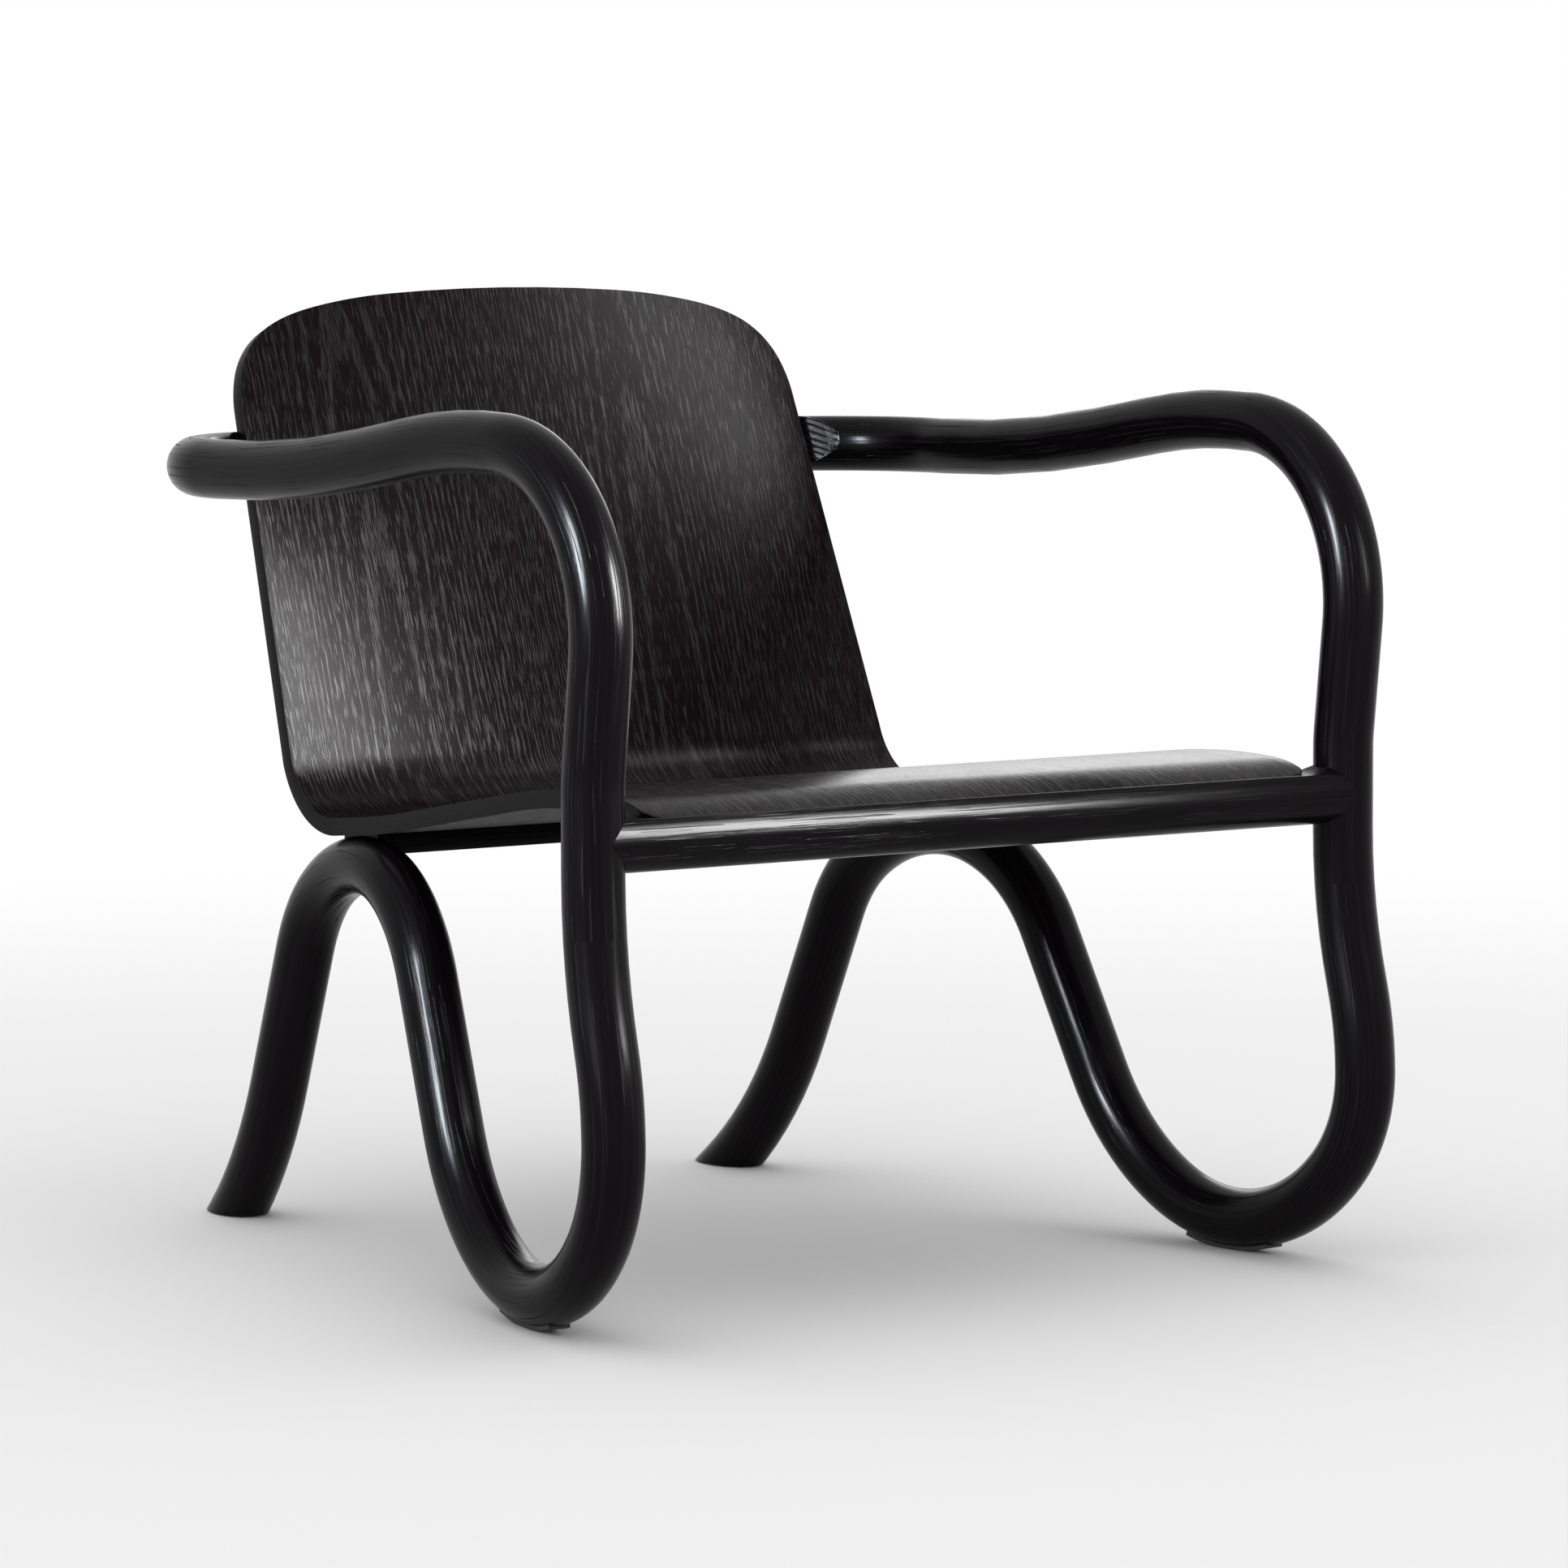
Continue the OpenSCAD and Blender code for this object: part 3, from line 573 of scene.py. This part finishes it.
class Wire:
    # one output socket of a material; sums and products of wires add Math nodes

    def __init__(self, tree, socket=None):
        self.tree, self.socket = tree, socket

    def node(self, kind, settings=None, sockets=None, out=0):
        made = self.tree.nodes.new(kind)
        for key, value in (settings or {}).items():
            setattr(made, key, value)
        for key, value in (sockets or {}).items():
            if isinstance(value, Wire):
                self.tree.links.new(value.socket, made.inputs[key])
            else:
                made.inputs[key].default_value = value
        return Wire(self.tree, made.outputs[out] if len(made.outputs) else None)

    def maths(self, operation, *others):
        return self.node("ShaderNodeMath", {"operation": operation}, dict(enumerate((self, *others))))

    def __add__(self, other):
        return self.maths("ADD", other)

    __radd__ = __add__

    def __sub__(self, other):
        return self.maths("SUBTRACT", other)

    def __rsub__(self, other):
        return self.node("ShaderNodeMath", {"operation": "SUBTRACT"}, {0: other, 1: self})

    def __mul__(self, other):
        return self.maths("MULTIPLY", other)

    __rmul__ = __mul__

    def __truediv__(self, other):
        return self.maths("DIVIDE", other)

    def __rtruediv__(self, other):
        return self.node("ShaderNodeMath", {"operation": "DIVIDE"}, {0: other, 1: self})

    def between(self, low, high):
        # 0 below low, 1 above high, smooth in between
        return self.node("ShaderNodeMapRange", {"interpolation_type": "SMOOTHSTEP"},
                         {"Value": self, "From Min": low, "From Max": high, "To Min": 0.0, "To Max": 1.0})

    def scaled(self, scale):
        return self.node("ShaderNodeVectorMath", {"operation": "MULTIPLY"}, {0: self, 1: scale})

    def length(self):
        return self.node("ShaderNodeVectorMath", {"operation": "LENGTH"}, {0: self}, out="Value")

    def noise(self, scale, detail, rough):
        # scale has three values, in waves for each metre
        return self.node("ShaderNodeTexNoise", None, {
            "Vector": self.scaled(scale), "Scale": 1.0, "Detail": detail, "Roughness": rough})

    def axis(self, letter):
        return self.node("ShaderNodeSeparateXYZ", None, {0: self}, out=letter)

    def mixed(self, first, second):
        # two colours, by this wire; 6, 7 and 2 are the Mix node's sockets for colours
        return self.node("ShaderNodeMix", {"data_type": "RGBA"}, {0: self, 6: first, 7: second}, out=2)


def newMaterial(name):
    material = bpy.data.materials.new(name)
    material.use_nodes = True
    material.node_tree.nodes.clear()
    return material, Wire(material.node_tree)


def grainOf(start):
    return start.node("ShaderNodeAttribute", {"attribute_name": "grain"}, out="Vector")


def placeOf(start):
    return start.node("ShaderNodeTexCoord", out="Object")


def addShader(start, colour, roughness, height, lift, **sockets):
    # Base Color and Roughness, a Bump of this lift in metres, and other sockets with _ for each space
    bump = start.node("ShaderNodeBump", None, {"Strength": 1.0, "Distance": lift, "Height": height})
    values = {"Base Color": colour, "Roughness": roughness, "Normal": bump}
    values.update({name.replace("_", " "): value for name, value in sockets.items()})
    shader = start.node("ShaderNodeBsdfPrincipled", None, values)
    start.node("ShaderNodeOutputMaterial", None, {"Surface": shader})


def rgb(red, green, blue):
    return red, green, blue, 1.0


# a pattern is (waves for each metre, detail, roughness), for the directions across, over and along the grain
rodFinish = {
    "dark": rgb(0.0024, 0.0016, 0.0024), "light": rgb(0.0062, 0.0046, 0.0060),
    "pore": rgb(0.0010, 0.0010, 0.0010),
    "wander": ((26, 26, 2.2), 2, 0.5), "wanderWidth": 0.012, "slant": 0.55, "ring": 0.0042,
    "earlyWood": (0.45, 0.95), "earlyTint": 0.45,
    "dashes": ((900, 900, 16), 1, 0.4), "poreEdge": (0.58, 0.64), "latePores": 0.15, "poreTint": 0.9,
    "fibre": ((620, 620, 6), 3, 0.6), "fibreSheen": 0.18,
    "cloud": ((14, 14, 9), 3, 0.55), "cloudSheen": 0.06,
    "sheen": 0.21, "poreSheen": 0.6, "gloss": 0.062,
    "sawnAt": (0.0188, 0.0197), "sawnSheen": 0.10,
    "fibreHeight": 0.35, "poreHeight": 0.6, "sawnHeight": 1.6, "lift": 0.00024,
}


def stainedRod(look):
    material, start = newMaterial("stainedRod")
    grain = grainOf(start)
    across, over = grain.axis("X"), grain.axis("Y")
    wander = grain.noise(*look["wander"]) - 0.5
    rings = (across + over * look["slant"] + wander * look["wanderWidth"]) / look["ring"]
    early = rings.maths("FRACT").between(*look["earlyWood"])
    dashes = grain.noise(*look["dashes"]).between(*look["poreEdge"])
    pores = dashes * (look["latePores"] + early * (1 - look["latePores"]))
    fibre = grain.noise(*look["fibre"])
    colour = early * look["earlyTint"] + fibre * (1 - look["earlyTint"])
    colour = (pores * look["poreTint"]).mixed(colour.mixed(look["dark"], look["light"]), look["pore"])
    cloud = grain.noise(*look["cloud"])
    # sawn flats, nearer the middle of the rod, are duller and show the years as ridges
    sawn = 1 - grain.scaled((1, 1, 0)).length().between(*look["sawnAt"])
    roughness = (look["sheen"] + (cloud - 0.5) * look["cloudSheen"] + (fibre - 0.5) * look["fibreSheen"]
                 + pores * (look["poreSheen"] - look["sheen"]) + sawn * look["sawnSheen"])
    height = fibre * look["fibreHeight"] - pores * look["poreHeight"] + sawn * early * look["sawnHeight"]
    addShader(start, colour, roughness, height, look["lift"], Specular_IOR_Level=look["gloss"])
    return material


shellFinish = {
    "dark": rgb(0.0030, 0.0014, 0.0021), "light": rgb(0.0068, 0.0038, 0.0050),
    "pore": rgb(0.013, 0.010, 0.011),
    "wander": ((0, 9, 1.6), 2, 0.5), "wanderWidth": 0.045,
    "shiver": ((0, 260, 60), 2, 0.6), "shiverWidth": 0.0022,
    "hearts": (-0.142, 0.081), "heartSlope": 0.17, "heartCurve": 56, "heartSway": 2.2, "ring": 0.030,
    "earlyWood": (0.35, 0.98), "earlyTint": 0.25, "rowFrom": (0.58, 0.70), "rowTo": (0.93, 1.0),
    "dashes": ((0, 1250, 46), 1, 0.4), "dashEdge": (0.50, 0.56),
    "strays": ((0, 1000, 66), 1, 0.4), "strayEdge": (0.59, 0.64), "strayDepth": 0.8, "poreTint": 0.8,
    "cloud": ((0, 22, 5), 3, 0.6), "cloudTint": 0.35, "cloudSheen": 0.06,
    "fibre": ((0, 420, 9), 3, 0.6), "fibreTint": 0.4, "fibreSheen": 0.06, "fibreHeight": 0.25,
    "sheen": 0.25, "poreSheen": 0.30, "gloss": 0.045, "lift": 0.00006,
    "poreGloss": 0.26, "coatSheen": 0.34, "coatIndex": 1.5,
    "rearFrom": (0.006, 0.0115), "rearDull": 0.3,
}


def archedFigure(look, grain):
    # two leaves of veneer side by side, each with its own arched figure
    across, along = grain.axis("Y"), grain.axis("Z")
    wander = (grain.noise(*look["wander"]) - 0.5) * look["wanderWidth"]
    shiver = (grain.noise(*look["shiver"]) - 0.5) * look["shiverWidth"]
    arches = []
    for heart in look["hearts"]:
        aside = across - heart + wander + shiver
        arch = aside * aside * look["heartCurve"] + along * look["heartSlope"] + wander * look["heartSway"]
        arches.append(arch / look["ring"])
    return arches[0].maths("MINIMUM", arches[1])


def stainedShell(look):
    material, start = newMaterial("stainedShell")
    grain = grainOf(start)
    year = archedFigure(look, grain).maths("FRACT")
    early = year.between(*look["earlyWood"])
    # open pores stand in rows in the early wood of each year, and a few stray from them
    rows = year.between(*look["rowFrom"]) * (1 - year.between(*look["rowTo"]))
    dashes = grain.noise(*look["dashes"]).between(*look["dashEdge"])
    strays = grain.noise(*look["strays"]).between(*look["strayEdge"])
    pores = (rows * dashes).maths("MAXIMUM", strays * look["strayDepth"])
    cloud = grain.noise(*look["cloud"])
    fibre = grain.noise(*look["fibre"])
    colour = early * look["earlyTint"] + cloud * look["cloudTint"] + fibre * look["fibreTint"]
    colour = (pores * look["poreTint"]).mixed(colour.mixed(look["dark"], look["light"]), look["pore"])
    # the hidden face is left as it came from the mould, duller than the sitting face
    rear = grain.axis("X").maths("ABSOLUTE").between(*look["rearFrom"])
    roughness = (look["sheen"] + (cloud - 0.5) * look["cloudSheen"] + (fibre - 0.5) * look["fibreSheen"]
                 + pores * (look["poreSheen"] - look["sheen"]) + rear * look["rearDull"])
    addShader(start, colour, roughness, fibre * look["fibreHeight"] - pores, look["lift"],
              Specular_IOR_Level=look["gloss"], Coat_Weight=pores * look["poreGloss"],
              Coat_Roughness=look["coatSheen"], Coat_IOR=look["coatIndex"])
    return material


edgeFinish = {
    "dark": rgb(0.0022, 0.0020, 0.0022), "light": rgb(0.0060, 0.0050, 0.0052), "ply": 0.0015,
    "bandEdge": (0.35, 0.65), "bandTint": 0.6, "bandSheen": 0.08,
    "fibre": ((2600, 500, 60), 2, 0.5), "fibreSheen": 0.15, "sheen": 0.36, "gloss": 0.05, "lift": 0.00003,
}


def plyEdge(look):
    material, start = newMaterial("plyEdge")
    grain = grainOf(start)
    band = (grain.axis("X") / look["ply"]).maths("PINGPONG", 1.0).between(*look["bandEdge"])
    fibre = grain.noise(*look["fibre"])
    colour = (band * look["bandTint"] + fibre * (1 - look["bandTint"])).mixed(look["dark"], look["light"])
    roughness = look["sheen"] + (fibre - 0.5) * look["fibreSheen"] + band * look["bandSheen"]
    addShader(start, colour, roughness, fibre, look["lift"], Specular_IOR_Level=look["gloss"])
    return material


# the small pieces' finishes; share is how much of the colour comes from the first pattern
dowelFinish = {
    "dark": rgb(0.42, 0.28, 0.15), "light": rgb(0.66, 0.50, 0.32), "share": 0.8, "sheen": 0.55,
    "fibre": ((60, 900, 900), 3, 0.6), "fibreSheen": 0.2,
    "fleck": ((260, 1500, 1500), 1, 0.5), "fleckEdge": (0.6, 0.7), "lift": 0.00003,
}
metalFinish = {
    "zinc": (rgb(0.42, 0.43, 0.43), rgb(0.66, 0.66, 0.64), 0.32),
    "oxide": (rgb(0.010, 0.010, 0.011), rgb(0.035, 0.034, 0.034), 0.42),
    "brass": (rgb(0.55, 0.38, 0.14), rgb(0.80, 0.62, 0.28), 0.34),
    "stain": ((130, 130, 130), 3, 0.6), "stainSheen": 0.1, "share": 0.7,
    "turned": ((2200, 2200, 300), 2, 0.6), "turnedSheen": 0.2, "lift": 0.00001,
}
nylonFinish = {
    "dark": rgb(0.012, 0.012, 0.012), "light": rgb(0.035, 0.034, 0.033), "share": 0.8, "sheen": 0.5,
    "rub": ((60, 60, 60), 3, 0.6), "rubSheen": 0.2, "pits": ((1400, 1400, 1400), 2, 0.6), "lift": 0.00002,
}


def plainBeech(look):
    material, start = newMaterial("plainBeech")
    place = placeOf(start)
    fibre = place.noise(*look["fibre"])
    fleck = place.noise(*look["fleck"]).between(*look["fleckEdge"])
    colour = (fibre * look["share"] + fleck * (1 - look["share"])).mixed(look["dark"], look["light"])
    addShader(start, colour, look["sheen"] + fibre * look["fibreSheen"], fibre - fleck, look["lift"])
    return material


def metal(name, look, dark, light, sheen):
    material, start = newMaterial(name)
    place = placeOf(start)
    turned, stain = place.noise(*look["turned"]), place.noise(*look["stain"])
    colour = (stain * look["share"] + turned * (1 - look["share"])).mixed(dark, light)
    roughness = sheen + (turned - 0.5) * look["turnedSheen"] + (stain - 0.5) * look["stainSheen"]
    addShader(start, colour, roughness, turned, look["lift"], Metallic=1.0)
    return material


def nylon(look):
    material, start = newMaterial("nylonGlide")
    place = placeOf(start)
    pits, rub = place.noise(*look["pits"]), place.noise(*look["rub"])
    colour = (rub * look["share"] + pits * (1 - look["share"])).mixed(look["dark"], look["light"])
    addShader(start, colour, look["sheen"] + rub * look["rubSheen"], pits, look["lift"])
    return material


rodMaterial = stainedRod(rodFinish)
shellMaterial = stainedShell(shellFinish)
edgeMaterial = plyEdge(edgeFinish)
finishes = {
    "plain_dowel": plainBeech(dowelFinish),
    "zinc_screw": metal("zincPlate", metalFinish, *metalFinish["zinc"]),
    "black_bolt": metal("blackOxide", metalFinish, *metalFinish["oxide"]),
    "brass_insert": metal("plainBrass", metalFinish, *metalFinish["brass"]),
    "black_glide": nylon(nylonFinish),
}
stainedRods = (armHoop, legRight, legLeft, frontRail, rearRail)


def dress(piece, slot, *materials):
    piece.data.materials.clear()
    for material in materials:
        piece.data.materials.append(material)
    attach(piece, "root")


for piece in stainedRods:
    dress(piece, "stained_rod", rodMaterial)
for node, piece in smallPieces.items():
    slot = smallParts[node][1]
    dress(piece, slot, finishes[slot])
for node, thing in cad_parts.items():
    thing.data.materials.clear()
    thing.data.materials.append(finishes[smallParts[node][1]] if node in smallParts else rodMaterial)

# the sawn edges of the plies take their own finish
dress(seatShell, "stained_shell", shellMaterial, edgeMaterial)
nearest = nearestOn(shellSheet.line)
for face in seatShell.data.polygons:
    place, far = shellSheet.line[nearest(Vector((0, face.center.y, face.center.z)))]
    facing = abs(place.col[0].xyz.dot(face.normal))
    face.material_index = 1 if facing < shellLook["edgeFacing"] else 0
print("materials made")


# floor, background and light

studio = {"floorColour": rgb(0.90, 0.90, 0.90), "white": rgb(1, 1, 1), "floorRadius": 30, "floorSides": 96,
          "fadeFrom": 1.0, "fadeTo": 2.6, "ambient": 0.93}


def lookedAt(start):
    # 1 where the eye, a reflection or glass looks, 0 where light is gathered
    path = start.node("ShaderNodeLightPath").socket.node
    eye, gloss, glass = (Wire(start.tree, path.outputs[name]) for name in
                         ("Is Camera Ray", "Is Glossy Ray", "Is Transmission Ray"))
    return (eye + gloss + glass).maths("MINIMUM", 1.0)


def paleFloor(look):
    # lit like paper near the chair, and plain white far from it
    bm = bmesh.new()
    bmesh.ops.create_circle(bm, cap_ends=True, radius=look["floorRadius"], segments=look["floorSides"])
    floor = newPiece("floor", bm)
    material, start = newMaterial("paleFloor")
    fade = placeOf(start).length().between(look["fadeFrom"], look["fadeTo"]) * lookedAt(start)
    paper = start.node("ShaderNodeBsdfDiffuse", None, {"Color": look["floorColour"]})
    white = start.node("ShaderNodeEmission", None, {"Color": look["white"], "Strength": 1.0})
    shader = start.node("ShaderNodeMixShader", None, {0: fade, 1: paper, 2: white})
    start.node("ShaderNodeOutputMaterial", None, {"Surface": shader})
    floor.data.materials.append(material)


def paleWorld(look):
    world = bpy.data.worlds.new("studio")
    bpy.context.scene.world = world
    world.use_nodes = True
    world.node_tree.nodes.clear()
    start = Wire(world.node_tree)
    strength = look["ambient"] + lookedAt(start) * (1.0 - look["ambient"])
    background = start.node("ShaderNodeBackground", None, {"Color": look["white"], "Strength": strength})
    start.node("ShaderNodeOutputWorld", None, {"Surface": background})


# each lamp: where it stands, where it looks, its size, its power, its spread and the rays that it shows in;
# the two big cards are there for the rods alone, because a flat shell would mirror them whole
lamps = {
    "overhead": {
        "at": (0.3, -0.6, 3.2), "to": (0, 0, 0.2), "size": (2.6, 2.2),
        "watts": 8, "spread": 180, "shows": "diffuse"},
    "frontCard": {
        "at": (0.37, -1.02, 0.78), "to": (-0.30, -0.30, 0.46), "size": (0.35, 0.5),
        "watts": 10.5, "spread": 62, "shows": "gloss", "rodsOnly": True},
    "leftCard": {
        "at": (-1.62, -0.44, 1.03), "to": (-0.30, -0.28, 0.46), "size": (0.32, 0.72),
        "watts": 22, "spread": 60, "shows": "gloss", "rodsOnly": True, "colour": (0.88, 0.93, 1.0)},
    "lowCard": {
        "at": (0.01, -0.28, 0.68), "to": (-0.235, 0.07, 0.42), "size": (0.22, 0.30),
        "watts": 1.9, "spread": 70, "shows": "gloss"},
    "highCard": {
        "at": (0.575, -0.09, 1.10), "to": (0.235, 0.28, 0.75), "size": (0.12, 0.35),
        "watts": 0.5, "spread": 70, "shows": "gloss"},
    "rearCard": {
        "at": (1.45, 1.75, 0.85), "to": (0.05, -0.25, 0.33), "size": (1.1, 0.6),
        "watts": 5.0, "spread": 180, "shows": "gloss"},
}


def lightUp(name, look, rods):
    lamp = bpy.data.lights.new(name, "AREA")
    lamp.shape = "RECTANGLE"
    lamp.size, lamp.size_y = look["size"]
    lamp.energy = look["watts"]
    lamp.color = look.get("colour", (1, 1, 1))
    lamp.spread = math.radians(look["spread"])
    thing = bpy.data.objects.new(name, lamp)
    at, to = Vector(look["at"]), Vector(look["to"])
    thing.matrix_world = Matrix.Translation(at) @ (to - at).to_track_quat("-Z", "Y").to_matrix().to_4x4()
    if look.get("rodsOnly"):
        thing.light_linking.receiver_collection = rods
    thing.visible_diffuse = look["shows"] == "diffuse"
    thing.visible_glossy = look["shows"] == "gloss"
    thing.visible_camera = False
    bpy.context.scene.collection.objects.link(thing)


paleFloor(studio)
paleWorld(studio)
rods = bpy.data.collections.new("rods")
for piece in stainedRods:
    rods.objects.link(piece)
for name, look in lamps.items():
    lightUp(name, look, rods)
bpy.context.scene.view_settings.view_transform = "Standard"
print("studio lit")
